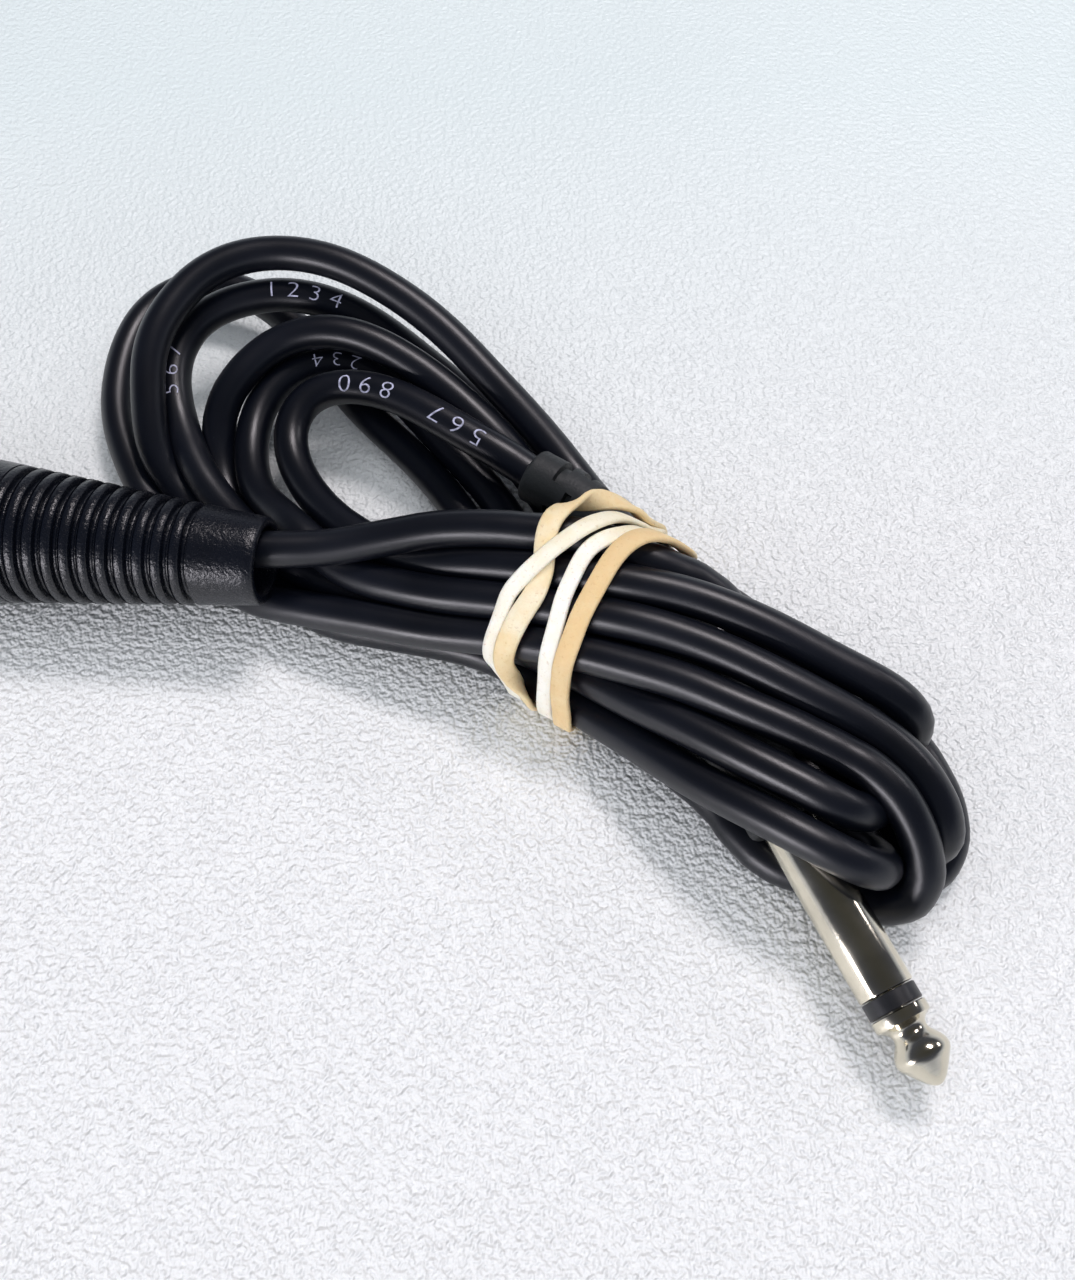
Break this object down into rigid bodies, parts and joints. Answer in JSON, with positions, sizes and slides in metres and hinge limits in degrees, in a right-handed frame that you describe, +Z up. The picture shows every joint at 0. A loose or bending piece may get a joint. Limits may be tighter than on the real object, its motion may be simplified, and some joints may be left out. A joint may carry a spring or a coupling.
{
  "type": "instrument cable",
  "caption": "Coiled instrument cable held by a rubber band, with a latching socket connector on one end and a 6.35 mm jack plug on the other.",
  "frame": {"origin": "bottom centre of the box around the two connectors, on the surface the cable lies on", "axes": "+X towards the right of the coil and along the longest extent of the two connectors together, +Y to the back, +Z up"},
  "size_m": [0.1604, 0.1073, 0.0212],
  "materials": {
    "moulded_pvc": "moulded, fine leathery texture, semi-matte",
    "cord_jacket": "extruded soft jacket, satin",
    "nickel_plate": "polished nickel plate, slightly warm",
    "spring_steel": "satin",
    "contact_brass": "bright",
    "bare_copper": "bare stranded copper",
    "insert_plastic": "moulded, matte",
    "core_insulation": "natural white",
    "red_insulation": "red",
    "band_rubber": "matte natural rubber, cream to tan"
  },
  "bodies": {
    "cable": {"xlr_boot": "moulded_pvc", "cable_clamp": "insert_plastic", "xlr_shell": "nickel_plate", "xlr_insulator": "insert_plastic", "xlr_socket_1": "contact_brass", "xlr_socket_2": "contact_brass", "xlr_socket_3": "contact_brass", "xlr_ground_contact": "contact_brass", "insert_screw": "spring_steel", "latch_pivot_pin": "spring_steel", "latch_spring": "spring_steel", "xlr_signal_wire": "red_insulation", "xlr_shield_wire": "bare_copper", "xlr_jumper_wire": "bare_copper", "jack_tip": "nickel_plate", "jack_tip_ring": "insert_plastic", "jack_sleeve": "nickel_plate", "jack_core_insulator": "core_insulation", "jack_ground_tag": "contact_brass", "jack_washer": "core_insulation", "jack_tip_lug": "contact_brass", "jack_handle": "moulded_pvc", "jack_strain_relief": "moulded_pvc", "jack_signal_wire": "red_insulation", "jack_shield_wire": "bare_copper", "cable_lead_xlr": "cord_jacket", "cable_lead_jack": "cord_jacket", "cable_coil": "cord_jacket", "rubber_band": "band_rubber"},
    "latch": {"latch_lever": "nickel_plate"}
  },
  "joints": [
    {"name": "latch_press", "type": "hinge", "parent": "cable", "child": "latch", "pos_m": [-0.04918, 0.02785, 0.01703], "axis": [-0.1547, -0.988, 0], "range_deg": [0, 6], "stiffness_Nm_per_rad": 0.2, "springref_deg": -2.86}
  ]
}
